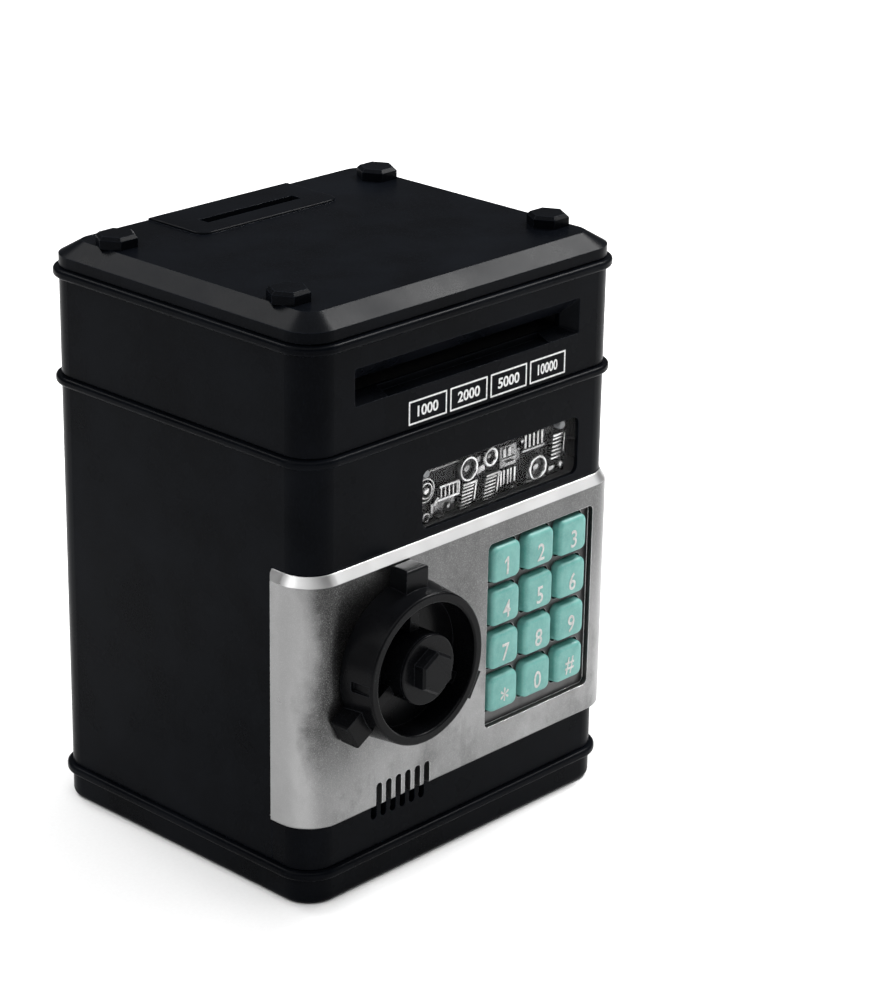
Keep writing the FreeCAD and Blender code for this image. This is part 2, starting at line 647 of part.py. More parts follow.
# ---------------------------------------------------------------- door
def vents(y0, y1):
    """Row of upright slots in front of the loudspeaker."""
    slots = []
    for index in range(VENT_COUNT):
        x = VENT_X + (index - (VENT_COUNT - 1) / 2) * VENT_PITCH
        slots.append(slab_y(x - VENT_HALF, x + VENT_HALF, *VENT_Z, y0, y1, VENT_HALF - 0.01))
    return slots


def door_panel():
    """Door shell with both corner returns, hinge knuckle, dial bush and screw posts."""
    shell = case_slab(0, DOOR_BOTTOM, DOOR_TOP).cut(case_slab(-DOOR_WALL, DOOR_BOTTOM, DOOR_TOP))
    left = shell.common(block(-70, 0, -60, DOOR_LEFT_END, 0, 120))
    right = shell.common(block(0, 70, -60, HINGE_Y, 0, 120))
    door = left.fuse(right).fuse(rod_z(HINGE_X, HINGE_Y, DOOR_BOTTOM, DOOR_TOP, KNUCKLE_R))
    inside = case_slab(-DOOR_WALL / 2, DOOR_BOTTOM, DOOR_TOP)
    for z0, z1 in ((DOOR_BOTTOM, DOOR_BOTTOM + 1.8), (DOOR_TOP - 1.8, DOOR_TOP)):
        door = door.fuse(inside.common(block(-66, 66, -56, -49.5, z0, z1)))
    door = door.cut(tub_slab(TUB_WALL + 0.2, -58, -54, 2.0))
    door = door.fuse(rod_y(DIAL_X, -56.0, -50.0, DIAL_Z, 6.0))
    door = door.fuse(rod_y(VENT_X, -56.0, -52.0, SPEAKER_Z, 17.0).cut(
        rod_y(VENT_X, -54.8, -51.0, SPEAKER_Z, 15.9)))
    for x, z in KEYPAD_SCREWS:
        door = door.fuse(rod_y(x, -54.9, -50.6, z, 2.6))
        door = door.cut(rod_y(x, -54.0, -50.0, z, 1.0))
    door = door.cut(rod_y(DIAL_X, -58, -49, DIAL_Z, SHAFT_R + RUN))
    for slot in vents(-58, -54):
        door = door.cut(slot)
    for z0, z1 in ((DOOR_BOTTOM - 1, 22.2), (96.8, DOOR_TOP + 1)):
        door = door.cut(rod_z(HINGE_X, HINGE_Y, z0, z1, PIN_R))
    return door


def tub_slab(grow, y0, y1, corner):
    """The keypad tub's outline, grown all round, between two depths."""
    return slab_y(TUB_X[0] - grow, TUB_X[1] + grow, TUB_Z[0] - grow, TUB_Z[1] + grow, y0, y1, corner)


def plate_outline(grow, z):
    """The case's outline, grown all round, at one height."""
    return rounded_wire(-HALF_W - grow, HALF_W + grow, -HALF_D - grow, HALF_D + grow, CORNER + grow,
                        lambda a, b: V(a, b, z))


def fascia_plate():
    """Silver plate that wraps both front corners and holds the keypad tub."""
    shoulder = PLATE_TOP - PLATE_BEVEL
    plate = case_slab(PLATE, PLATE_BOTTOM, shoulder)
    bottom = edges_where(plate, lambda box: box.ZMax < PLATE_BOTTOM + 0.001)
    plate = plate.makeFillet(0.8, bottom)
    bevel = Part.makeLoft([plate_outline(PLATE, shoulder), plate_outline(PLATE_LIP, PLATE_TOP)], True, True)
    plate = plate.fuse(bevel)
    plate = plate.cut(case_slab(0, PLATE_BOTTOM - 1, PLATE_TOP + 1))
    left = plate.common(block(-72, 0, -62, PLATE_LEFT_END, 0, 120))
    right = plate.common(block(0, 72, -62, PLATE_RIGHT_END, 0, 120))
    plate = left.fuse(right).removeSplitter()
    side = HALF_W + PLATE
    ends = edges_where(plate, lambda box: abs(abs(box.XMin) - side) < 0.001 and box.XLength < 0.001
                       and box.YLength < 0.001 and box.YMin > -47.5)
    plate = plate.makeChamfer(1.2, ends)
    plate = plate.cut(tub_slab(0, -60, -56, 2.0))
    tub = tub_slab(TUB_WALL, -58.6, -56.0, 2.4)
    plate = plate.fuse(tub.cut(tub_slab(0, -60, -57.2, 2.0)))
    for z in KEY_Z:
        for x in KEY_X:
            half_x = KEY_HALF_X + KEY_GAP
            half_z = KEY_HALF_Z + KEY_GAP
            plate = plate.cut(slab_y(x - half_x, x + half_x, z - half_z, z + half_z, -58, -55, 2.4))
    plate = plate.cut(rod_y(DIAL_X, -60, -56, DIAL_Z, 5.0))
    for slot in vents(-60, -56):
        plate = plate.cut(slot)
    return plate


def key(x, z):
    """Crowned key cap with the flange that keeps it behind the fascia."""
    cap = slab_y(x - KEY_HALF_X, x + KEY_HALF_X, z - KEY_HALF_Z, z + KEY_HALF_Z, KEY_FRONT, -54.0, 2.4)
    cap = round_front(cap, KEY_FRONT, 1.3)
    flange = slab_y(x - 7.25, x + 7.25, z - 6.9, z + 6.9, -55.8, -54.6, 2.4)
    return cap.fuse(flange)


def key_mat():
    """Rubber sheet with one dome behind each key."""
    mat = slab_y(7.0, 54.0, 39.0, 98.5, -51.4, -50.6, 2.0)
    for z in KEY_Z:
        for x in KEY_X:
            dome = Part.makeCone(3.4, 2.4, 0.9, V(x, -51.4, z), V(0, -1, 0))
            mat = mat.fuse(dome)
    return mat


def keypad_board():
    board = slab_y(0.5, 62.5, 33.2, 103.6, -50.6, -49.0, 1.5)
    for x, z in KEYPAD_SCREWS:
        board = board.cut(rod_y(x, -51, -48, z, 1.1))
    return board


def hinge_pins():
    return [rod_z(HINGE_X, HINGE_Y, 6.0, 22.0, PIN_R), rod_z(HINGE_X, HINGE_Y, 97.0, 112.4, PIN_R)]


def speaker_frame():
    """Basket and magnet of the loudspeaker."""
    basket = rod_y(VENT_X, -54.7, -50.0, SPEAKER_Z, 15.6)
    basket = basket.cut(rod_y(VENT_X, -55, -51.0, SPEAKER_Z, 14.2))
    return basket.fuse(rod_y(VENT_X, -50.5, -44.5, SPEAKER_Z, 9.0))


def speaker_cone():
    cone = Part.makeCone(13.6, 5.0, 2.6, V(VENT_X, -54.2, SPEAKER_Z), Y_AXIS)
    inner = Part.makeCone(13.0, 4.4, 2.6, V(VENT_X, -54.6, SPEAKER_Z), Y_AXIS)
    return cone.cut(inner)


# ---------------------------------------------------------------- dial, latch and lock
def dial_knob():
    """Cup-shaped dial with a hub, three inner spokes and three outer grip blocks."""
    depth = DIAL_BACK - DIAL_FRONT
    knob = Part.makeCone(DIAL_R, DIAL_RIM_R, depth, V(DIAL_X, DIAL_BACK, DIAL_Z), V(0, -1, 0))
    for step in range(3):
        grip = block(-4.5, 4.5, DIAL_BACK - 6.9, DIAL_BACK, 20.0, 31.0)
        outer = edges_where(grip, lambda box: box.ZMin > 20.01)
        grip = grip.makeFillet(0.9, outer)
        grip.rotate(V(0, 0, 0), Y_AXIS, 120 * step)
        grip.translate(V(DIAL_X, 0, DIAL_Z))
        knob = knob.fuse(grip)
    knob = knob.cut(rod_y(DIAL_X, DIAL_FRONT - 1, DIAL_FLOOR, DIAL_Z, DIAL_CUP_R))
    for step in range(3):
        spoke = block(-1.8, 1.8, DIAL_FLOOR - 3.5, DIAL_FLOOR + 0.5, 5.0, DIAL_CUP_R + 1.0)
        spoke.rotate(V(0, 0, 0), Y_AXIS, 120 * step)
        spoke.translate(V(DIAL_X, 0, DIAL_Z))
        knob = knob.fuse(spoke)
    knob = knob.fuse(rod_y(DIAL_X, -70.5, DIAL_FLOOR + 0.5, DIAL_Z, DIAL_HUB_R))
    mark = block(-DIAL_R - 1, -DIAL_RIM_R + 0.4, DIAL_FRONT + 1.0, -63.5, -1.6, 1.6)
    mark.translate(V(DIAL_X, 0, DIAL_Z))
    knob = knob.cut(mark)
    rim = [edge for edge in knob.Edges
           if abs(edge.BoundBox.YMax - DIAL_FRONT) < 0.001 and edge.BoundBox.XLength > 30]
    knob = knob.makeFillet(0.7, rim)
    return knob.cut(rod_y(DIAL_X, -72, -59, DIAL_Z, SHAFT_R))


def dial_cap():
    """Disc with a hexagon boss that closes the hub."""
    disc = rod_y(DIAL_X, -71.4, -70.5, DIAL_Z, DIAL_HUB_R)
    disc = round_front(disc, -71.4, 0.4)
    boss = hexagon(DIAL_X, -71.3, DIAL_Z, 7.0, "y", 4.3, 90.0)
    crown = edges_where(boss, lambda box: box.YMax < -75.599)
    boss = boss.makeChamfer(0.7, crown)
    return disc.fuse(boss).fuse(rod_y(DIAL_X, -70.6, -67.2, DIAL_Z, SHAFT_R - 0.1))


def dial_shaft():
    shaft = rod_y(DIAL_X, -67.0, CAM_Y + CAM_THICK, DIAL_Z, SHAFT_R)
    shaft = shaft.fuse(rod_y(DIAL_X, -49.6, -48.4, DIAL_Z, 4.6))
    return shaft.cut(rod_y(DIAL_X, -46.0, -30, DIAL_Z, SCREW_HOLE_R))


def latch_cam():
    """Hub and arm; the arm stands up at rest and turns left behind the strike."""
    arm = block(DIAL_X - 3.2, DIAL_X + 3.2, CAM_Y, CAM_Y + CAM_THICK, DIAL_Z, DIAL_Z + CAM_REACH - 3.2)
    tip = rod_y(DIAL_X, CAM_Y, CAM_Y + CAM_THICK, DIAL_Z + CAM_REACH - 3.2, 3.2)
    hub = rod_y(DIAL_X, CAM_Y, CAM_Y + CAM_THICK, DIAL_Z, 5.6)
    return arm.fuse(tip).fuse(hub).cut(rod_y(DIAL_X, -40, -30, DIAL_Z, SHAFT_R))


def cam_screw():
    y_head = CAM_Y + CAM_THICK
    return screw_front(DIAL_X, y_head, DIAL_Z, 8.0, 3.6, SCREW_R)


def solenoid_frame():
    """Bent steel bracket on the back of the door, with a hole for the plunger."""
    frame = block(-57.0, -43.0, -54.8, -42.0, 72.0, 86.0)
    frame = frame.cut(block(-58.0, -42.0, -53.8, -43.0, 73.0, 85.0))
    return frame.cut(rod_y(-50.0, -44, -41, 79.0, 2.1))


def solenoid_coil():
    return rod_y(-50.0, -53.7, -43.1, 79.0, 5.8).cut(rod_y(-50.0, -52.6, -43, 79.0, 2.1))


def solenoid_plunger():
    pin = rod_y(-50.0, -52.0, -38.5, 79.0, 2.0)
    return pin.makeFillet(0.5, edges_where(pin, lambda box: box.YMin > -38.6))


# ---------------------------------------------------------------- write every piece
save("base_tray", base_tray())
save("main_body", main_body())
save("upper_housing", upper_housing())
save("lid", lid())
save("lid_bolts", lid_bolts())
save("coin_chute", coin_chute())
save("window_lens", window_lens())
save("window_relief", window_relief())
save("status_leds", status_leds())
save("bay_divider", bay_divider())
save("main_board", main_board())
save("board_components", board_components())
save("board_screws", board_screws())
save("base_screws", [screw_up(x, y, 3.4, 18.0) for x, y in BASE_SCREWS])
save("housing_screws", [screw_up(x, y, 135.0, 15.0) for x, y in SIDE_SCREWS])
save("lid_screws", [screw_up(sx * BOLT_X, sy * BOLT_Y, 169.0, 10.0) for sx in (-1, 1) for sy in (-1, 1)])
save("feed_chassis", feed_chassis())
save("feed_top_guide", feed_top_guide())
save("drive_shaft", rod_x(-54.4, 49.4, ROLLER_Y, DRIVE_Z, 1.5))
save("drive_rollers", rollers(DRIVE_Z, DRIVE_R))
save("pinch_shaft", rod_x(-48.8, 48.8, ROLLER_Y, PINCH_Z, 1.5))
save("pinch_rollers", rollers(PINCH_Z, PINCH_R))
save("bill_motor", bill_motor())
save("motor_pinion", motor_pinion())
save("compound_gear", compound_gear())
save("idler_axle", idler_axle())
save("roller_gear", roller_gear())
save("battery_box", battery_box())
save("battery_contacts", battery_contacts())
save("aa_cells", aa_cells())
save("battery_cover", battery_cover())
save("battery_screw", battery_screw())
save("door_panel", door_panel())
save("fascia_plate", fascia_plate())
for index, label in enumerate(KEY_NAMES):
    save("key_" + label, key(KEY_X[index % 3], KEY_Z[index // 3]))
save("key_mat", key_mat())
save("keypad_board", keypad_board())
save("keypad_screws", [screw_front(x, -49.0, z, 4.0) for x, z in KEYPAD_SCREWS])
save("hinge_pins", hinge_pins())
save("speaker_frame", speaker_frame())
save("speaker_cone", speaker_cone())
save("dial_knob", dial_knob())
save("dial_cap", dial_cap())
save("dial_shaft", dial_shaft())
save("latch_cam", latch_cam())
save("cam_screw", cam_screw())
save("solenoid_frame", solenoid_frame())
save("solenoid_coil", solenoid_coil())
save("solenoid_plunger", solenoid_plunger())
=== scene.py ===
import json
import math

import bmesh
import bpy
from mathutils import Matrix, Vector


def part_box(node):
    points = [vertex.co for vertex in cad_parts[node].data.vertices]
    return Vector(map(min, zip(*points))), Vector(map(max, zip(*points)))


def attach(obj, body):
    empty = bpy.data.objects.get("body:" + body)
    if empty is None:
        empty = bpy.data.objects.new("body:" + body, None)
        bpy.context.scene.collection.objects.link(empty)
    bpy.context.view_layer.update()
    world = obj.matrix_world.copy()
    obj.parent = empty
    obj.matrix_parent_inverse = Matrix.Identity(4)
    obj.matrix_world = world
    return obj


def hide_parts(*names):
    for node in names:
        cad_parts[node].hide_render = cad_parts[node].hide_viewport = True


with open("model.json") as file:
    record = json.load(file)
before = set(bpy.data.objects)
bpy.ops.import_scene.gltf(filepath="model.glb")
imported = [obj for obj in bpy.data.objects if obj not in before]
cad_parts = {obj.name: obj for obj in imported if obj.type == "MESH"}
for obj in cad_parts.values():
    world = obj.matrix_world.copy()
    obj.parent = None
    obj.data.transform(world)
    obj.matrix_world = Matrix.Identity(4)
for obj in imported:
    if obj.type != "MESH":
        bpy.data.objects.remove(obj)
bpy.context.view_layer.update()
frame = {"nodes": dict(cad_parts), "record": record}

# Looks of the toy cash machine bank. Lengths are metres; sizes written in millimetres carry MM.
# Front is -Y, the keypad is at +X, and the bank stands on z = 0.

MM = 0.001

# ---------------------------------------------------------------- camera
CAMERA_AZIMUTH = -47.0      # degrees, round the bank from its front
CAMERA_ELEVATION = 21.355
CAMERA_ROLL = 1.04
CAMERA_PLACE = (-0.6278, -0.6310, 0.4491)
CAMERA_LENS = 111.12         # millimetres
CAMERA_SENSOR = 36.0

# ---------------------------------------------------------------- keys
KEY_LABELS = {"1": "1", "2": "2", "3": "3", "4": "4", "5": "5", "6": "6", "7": "7", "8": "8",
              "9": "9", "star": "*", "0": "0", "hash": "#"}
KEY_CORNER = 2.5 * MM
KEY_RIM = (0.65 * MM, 0.7 * MM)     # how far a key's flange stands out, sideways and upwards
KEY_FLANGE = 1.2 * MM        # thickness of that flange
KEY_EDGE = 1.5 * MM          # rounding of a key's front edge
KEY_CROWN = 0.22 * MM
KEY_DRAFT = 0.25 * MM        # how much a key narrows towards its front
DIGIT_HEIGHT = 5.9 * MM
DIGIT_SHIFT = (-0.1 * MM, -0.9 * MM)
DIGIT_BOLD = 0.07 * MM
DIGIT_WIDTH = 0.86           # how much the figures are narrowed
SIGN_THICK = 0.08 * MM
SIGN_LIFT = 0.045 * MM       # how far a sign stands out of its key
SIGN_PITCH = 0.5 * MM        # strips in which a sign follows its key's crown
STAR_SCALE = 1.25
CAPITAL = 1.37               # font size of letters one unit tall

# ---------------------------------------------------------------- print on the front band
CASE_FRONT = -57.0 * MM
BOX_LABELS = ("1000", "2000", "5000", "10000")
BOX_SIZE = (16.2 * MM, 7.4 * MM)
BOX_PITCH = 17.6 * MM
BOX_LINE = 0.55 * MM
BOX_FIRST_X = -18.3 * MM     # middle of the first box
BOX_Z = 148.3 * MM
NOTE_HEIGHT = 3.3 * MM
NOTE_BOLD = 0.11 * MM
NOTE_WIDTH = (1.07, 0.86)    # stretch of a four-figure and a five-figure number
PRINT_LIFT = 0.04 * MM
PRINT_THICK = 0.02 * MM

# ---------------------------------------------------------------- finishes
PLATE_EDGE = 0.3 * MM        # rounding that the plate's edges catch light with
PLATE_BEVEL = 3.0 * MM       # bevel along the plate's upper edge
TUB_LEFT = 6.5 * MM          # where the keypad tub's shading begins and ends
TUB_RIGHT = 56.9 * MM
RELIEF_SHEET = 1.2 * MM      # sheet that the window's relief stands on

# ---------------------------------------------------------------- stage
FLOOR_HALF = 60.0            # half the floor's side
STAGE_MIDDLE = (0.0, 0.0, 0.09)     # where the softboxes point


# ================================================================ material helpers
class Finish:
    """A Principled material built up from procedural nodes in object coordinates."""

    def __init__(self, name, colour, roughness, metallic=0.0, specular=0.5):
        self.material = bpy.data.materials.new(name)
        self.material.use_nodes = True
        self.tree = self.material.node_tree
        self.shader = self.tree.nodes["Principled BSDF"]
        self.put("Base Color", (*colour, 1.0))
        self.put("Roughness", roughness)
        self.put("Metallic", metallic)
        self.put("Specular IOR Level", specular)
        self.place = self.node("ShaderNodeTexCoord").outputs["Object"]
        self.normal = None

    def put(self, socket, value):
        self.shader.inputs[socket].default_value = value

    def node(self, kind, **values):
        made = self.tree.nodes.new(kind)
        for key, value in values.items():
            setattr(made, key, value)
        return made

    def link(self, source, target):
        self.tree.links.new(source, target)

    def noise(self, scale, detail=3.0, rough=0.55, stretch=None):
        """Fractal noise, 0 to 1. stretch squeezes the pattern along the axes."""
        made = self.node("ShaderNodeTexNoise")
        made.inputs["Scale"].default_value = scale
        made.inputs["Detail"].default_value = detail
        made.inputs["Roughness"].default_value = rough
        self.link(self.stretched(stretch), made.inputs["Vector"])
        return made.outputs["Fac"]

    def cells(self, scale, metric="EUCLIDEAN"):
        made = self.node("ShaderNodeTexVoronoi", distance=metric)
        made.inputs["Scale"].default_value = scale
        self.link(self.place, made.inputs["Vector"])
        return made.outputs["Distance"]

    def waves(self, scale, axis):
        made = self.node("ShaderNodeTexWave", wave_type="BANDS", bands_direction=axis)
        made.inputs["Scale"].default_value = scale
        self.link(self.place, made.inputs["Vector"])
        return made.outputs["Fac"]

    def axes(self):
        """The place as separate X, Y and Z sockets."""
        apart = self.node("ShaderNodeSeparateXYZ")
        self.link(self.place, apart.inputs["Vector"])
        return apart.outputs["X"], apart.outputs["Y"], apart.outputs["Z"]

    def stretched(self, stretch):
        if stretch is None:
            return self.place
        made = self.node("ShaderNodeMapping")
        made.inputs["Scale"].default_value = stretch
        self.link(self.place, made.inputs["Vector"])
        return made.outputs["Vector"]

    def span(self, source, low, high, to_low, to_high):
        """source between low and high becomes to_low to to_high, clamped."""
        made = self.node("ShaderNodeMapRange")
        for key, value in (("From Min", low), ("From Max", high), ("To Min", to_low), ("To Max", to_high)):
            made.inputs[key].default_value = value
        self.link(source, made.inputs["Value"])
        return made.outputs["Result"]

    def math(self, operation, first, second):
        made = self.node("ShaderNodeMath", operation=operation)
        for socket, value in zip(made.inputs, (first, second)):
            if isinstance(value, float):
                socket.default_value = value
            else:
                self.link(value, socket)
        return made.outputs["Value"]

    def mix(self, factor, first, second):
        """Colour between first and second; each is a colour or a socket."""
        made = self.node("ShaderNodeMix", data_type="RGBA")
        self.link(factor, made.inputs["Factor"])
        for socket, value in ((made.inputs[6], first), (made.inputs[7], second)):
            if isinstance(value, tuple):
                socket.default_value = (*value, 1.0)
            else:
                self.link(value, socket)
        return made.outputs[2]

    def colour(self, socket):
        self.link(socket, self.shader.inputs["Base Color"])

    def roughness(self, socket):
        self.link(socket, self.shader.inputs["Roughness"])

    def round_edges(self, radius):
        """Softens hard edges and returns a mask that is 1 on them."""
        bevel = self.node("ShaderNodeBevel", samples=4)
        bevel.inputs["Radius"].default_value = radius
        plain = self.node("ShaderNodeNewGeometry").outputs["Normal"]
        dot = self.node("ShaderNodeVectorMath", operation="DOT_PRODUCT")
        self.link(bevel.outputs["Normal"], dot.inputs[0])
        self.link(plain, dot.inputs[1])
        self.normal = bevel.outputs["Normal"]
        self.link(self.normal, self.shader.inputs["Normal"])
        return self.span(dot.outputs["Value"], 0.995, 0.86, 0.0, 1.0)

    def bump(self, height, depth):
        """Adds relief of the given depth in metres on top of what is there."""
        made = self.node("ShaderNodeBump")
        made.inputs["Distance"].default_value = depth
        made.inputs["Strength"].default_value = 1.0
        self.link(height, made.inputs["Height"])
        if self.normal is not None:
            self.link(self.normal, made.inputs["Normal"])
        self.normal = made.outputs["Normal"]
        self.link(self.normal, self.shader.inputs["Normal"])


def moulded(name, dark, light, roughness, grain=1900.0, depth=0.012 * MM, specular=0.3):
    """Moulded plastic: cloudy tone, fine spark-eroded grain, edges lightened as rubbed wear and as a painted
    highlight.
    """
    made = Finish(name, dark, roughness, specular=specular)
    edge_wear_and_highlight = made.round_edges(0.3 * MM)
    cloud = made.noise(38.0, 4.0)
    grit = made.noise(grain, 2.0)
    cloudy = tuple(0.6 * low + 0.4 * high for low, high in zip(dark, light))
    tone = made.mix(made.span(cloud, 0.35, 0.68, 0.0, 1.0), dark, cloudy)
    tone = made.mix(made.span(grit, 0.52, 0.8, 0.0, 0.5), tone, light)
    # Edges lightened: partly rubbed wear, partly a painted highlight along them.
    made.colour(made.mix(edge_wear_and_highlight, tone, tuple(2.6 * part for part in light)))
    made.roughness(made.span(cloud, 0.3, 0.7, roughness - 0.05, roughness + 0.06))
    made.bump(grit, depth)
    return made.material


def metal(name, colour, dark, roughness, brushed=(1.0, 1.0, 0.08)):
    """Bare or plated metal with fine machining streaks and slight stains."""
    made = Finish(name, colour, roughness, metallic=1.0)
    edge_wear_and_highlight = made.round_edges(0.2 * MM)
    stain = made.noise(120.0, 4.0)
    streak = made.noise(900.0, 3.0, stretch=brushed)
    tone = made.mix(made.span(stain, 0.42, 0.75, 0.0, 0.6), colour, dark)
    tone = made.mix(made.span(streak, 0.45, 0.8, 0.0, 0.5), tone, dark)
    made.colour(made.mix(made.math("MULTIPLY", edge_wear_and_highlight, 0.6), tone, tuple(min(1.0, 1.2 * c) for c in colour)))
    made.roughness(made.span(streak, 0.3, 0.75, roughness - 0.06, roughness + 0.1))
    made.bump(streak, 0.006 * MM)
    return made.material


# ================================================================ materials
def silver_paint():
    """Satin silver lacquer on the fascia: cloudy tone, metal flake, finger marks, painted shade and
    highlights, and edges lightened as rubbed wear and a painted highlight.
    """
    made = Finish("silver_paint", (0.4, 0.4, 0.4), 0.34, metallic=0.94)
    low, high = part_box("fascia_plate")
    edge_wear_and_highlight = made.round_edges(PLATE_EDGE)
    cloud = made.noise(30.0, 5.0, 0.62)
    smudge = made.noise(110.0, 5.0, 0.65, stretch=(1.0, 1.0, 0.5))
    flake = made.noise(4200.0, 2.0)
    x, y, z = made.axes()
    uneven = made.math("MULTIPLY", cloud, 14.0 * MM)
    across = made.math("ADD", x, uneven)
    height = made.math("ADD", z, uneven)
    tone = made.mix(made.span(cloud, 0.34, 0.64, 0.0, 1.0), (0.15, 0.15, 0.15), (0.25, 0.25, 0.25))
    tone = made.mix(made.span(smudge, 0.5, 0.7, 0.0, 0.55), tone, (0.08, 0.08, 0.08))
    # Painted shade: darker towards the top, and a dark band by the dial standing in for its shadow and its
    # dark reflection on the plate.
    upper = made.span(height, low.z + 22.0 * MM, low.z + 75.0 * MM, 0.0, 0.74)
    tone = made.mix(upper, tone, (0.055, 0.055, 0.055))
    dial_shade_band = made.math("MULTIPLY", made.span(across, low.x + 10.0 * MM, low.x + 15.0 * MM, 0.0, 1.0),
                        made.span(across, low.x + 50.0 * MM, low.x + 26.0 * MM, 0.0, 1.0))
    rising = made.span(height, low.z + 14.0 * MM, low.z + 48.0 * MM, 0.2, 0.92)
    tone = made.mix(made.math("MULTIPLY", dial_shade_band, rising), tone, (0.02, 0.02, 0.02))
    tone = made.mix(made.span(flake, 0.5, 0.74, 0.0, 0.26), tone, (0.5, 0.5, 0.5))
    # Painted highlight where the plate turns the left corner, painted shade in the keypad tub, and a painted
    # highlight along the bevel.
    corner_highlight = made.span(across, low.x + 13.0 * MM, low.x + 8.0 * MM, 0.0, 0.45)
    tone = made.mix(corner_highlight, tone, (0.4, 0.4, 0.4))
    in_tub = made.math("MULTIPLY", made.span(x, TUB_LEFT - 0.5 * MM, TUB_LEFT + 0.5 * MM, 0.0, 1.0),
                       made.span(x, TUB_RIGHT + 0.3 * MM, TUB_RIGHT - 0.3 * MM, 0.0, 1.0))
    tub_shade = made.span(y, low.y + 0.4 * MM, low.y + 1.6 * MM, 0.0, 0.75)
    tone = made.mix(made.math("MULTIPLY", in_tub, tub_shade), tone, (0.03, 0.03, 0.03))
    bevel_foot = high.z - PLATE_BEVEL
    bevel = made.span(z, bevel_foot - 0.1 * MM, bevel_foot + 0.1 * MM, 0.0, 0.85)
    tone = made.mix(bevel, tone, (0.62, 0.62, 0.62))
    # Edges lightened almost to white: rubbed wear and a painted highlight.
    made.colour(made.mix(edge_wear_and_highlight, tone, (0.66, 0.66, 0.66)))
    made.roughness(made.span(smudge, 0.3, 0.7, 0.27, 0.4))
    made.bump(flake, 0.01 * MM)
    return made.material


def dark_chrome():
    """Vacuum-metallised relief: bright on what stands out, painted shade in the ground."""
    made = Finish("chrome_relief", (0.4, 0.4, 0.4), 0.24, metallic=1.0)
    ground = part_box("window_relief")[1].y - RELIEF_SHEET
    raised = made.span(made.axes()[1], ground - 0.3 * MM, ground - 2.0 * MM, 0.0, 1.0)
    stain = made.noise(180.0, 3.0)
    tone = made.mix(made.span(stain, 0.38, 0.68, 0.0, 1.0), (0.85, 0.85, 0.85), (0.4, 0.4, 0.4))
    # The ground between the raised parts is painted near black as shade.
    made.colour(made.mix(raised, (0.015, 0.015, 0.016), tone))
    made.roughness(made.span(stain, 0.3, 0.7, 0.2, 0.3))
    made.bump(made.noise(900.0, 2.0), 0.003 * MM)
    return made.material


def clear_lens():
    """Clear polystyrene window, thin enough to pass light straight through."""
    made = Finish("window_clear", (0.02, 0.02, 0.022), 0.04, specular=0.5)
    made.put("Alpha", 0.1)
    made.put("IOR", 1.5)
    haze = made.noise(60.0, 3.0)
    made.roughness(made.span(haze, 0.35, 0.7, 0.03, 0.1))
    return made.material


def key_plastic():
    """Mint key plastic, faintly translucent, with a soft satin front."""
    made = Finish("key_mint", (0.2, 0.53, 0.45), 0.42, specular=0.45)
    made.put("Subsurface Weight", 0.18)
    made.put("Subsurface Radius", (0.4, 1.0, 0.8))
    made.put("Subsurface Scale", 1.2 * MM)
    cloud = made.noise(210.0, 4.0)
    grit = made.noise(2300.0, 2.0)
    tone = made.mix(made.span(cloud, 0.35, 0.68, 0.0, 1.0), (0.1, 0.315, 0.285), (0.155, 0.4, 0.362))
    made.colour(made.mix(made.span(grit, 0.5, 0.8, 0.0, 0.35), tone, (0.26, 0.49, 0.445)))
    made.roughness(made.span(cloud, 0.3, 0.7, 0.36, 0.5))
    made.bump(grit, 0.01 * MM)
    return made.material


def pad_print(name, colour):
    """White ink, a little uneven where it has spread."""
    made = Finish(name, colour, 0.5, specular=0.3)
    ink = made.noise(1300.0, 4.0, 0.65)
    made.colour(made.mix(made.span(ink, 0.4, 0.62, 0.0, 1.0), tuple(0.72 * c for c in colour), colour))
    made.roughness(made.span(ink, 0.3, 0.7, 0.42, 0.6))
    made.bump(ink, 0.01 * MM)
    return made.material


def rubber(name, dark, light):
    """Matt rubber with dust in its pores."""
    made = Finish(name, dark, 0.72, specular=0.25)
    dust = made.noise(260.0, 5.0, 0.7)
    pore = made.cells(1500.0)
    made.colour(made.mix(made.span(dust, 0.42, 0.75, 0.0, 1.0), dark, light))
    made.roughness(made.span(dust, 0.3, 0.7, 0.62, 0.82))
    made.bump(pore, 0.02 * MM)
    return made.material


def circuit_board():
    """Green solder mask over square copper tracks."""
    made = Finish("board_green", (0.01, 0.12, 0.05), 0.34, specular=0.5)
    made.put("Coat Weight", 0.4)
    made.put("Coat Roughness", 0.18)
    track = made.cells(230.0, metric="CHEBYCHEV")
    line = made.span(made.math("FRACT", made.math("MULTIPLY", track, 3.0), 0.0), 0.42, 0.5, 0.0, 1.0)
    weave = made.noise(2600.0, 2.0)
    tone = made.mix(line, (0.008, 0.085, 0.035), (0.02, 0.2, 0.08))
    made.colour(made.mix(made.span(weave, 0.4, 0.8, 0.0, 0.5), tone, (0.03, 0.17, 0.08)))
    made.roughness(made.span(weave, 0.3, 0.7, 0.28, 0.42))
    made.bump(line, 0.03 * MM)
    return made.material


def copper_winding():
    """Enamelled wire wound in close turns."""
    made = Finish("coil_copper", (0.6, 0.2, 0.08), 0.3, metallic=1.0)
    turn = made.waves(620.0, "Y")
    # Dark between the turns: painted shade in the creases between the wires.
    tone = made.mix(made.span(turn, 0.1, 0.7, 0.0, 1.0), (0.12, 0.035, 0.015), (0.68, 0.26, 0.1))
    made.colour(made.mix(made.span(made.noise(300.0), 0.45, 0.75, 0.0, 0.5), tone, (0.4, 0.14, 0.06)))
    made.roughness(made.span(turn, 0.0, 1.0, 0.42, 0.24))
    made.bump(turn, 0.12 * MM)
    return made.material


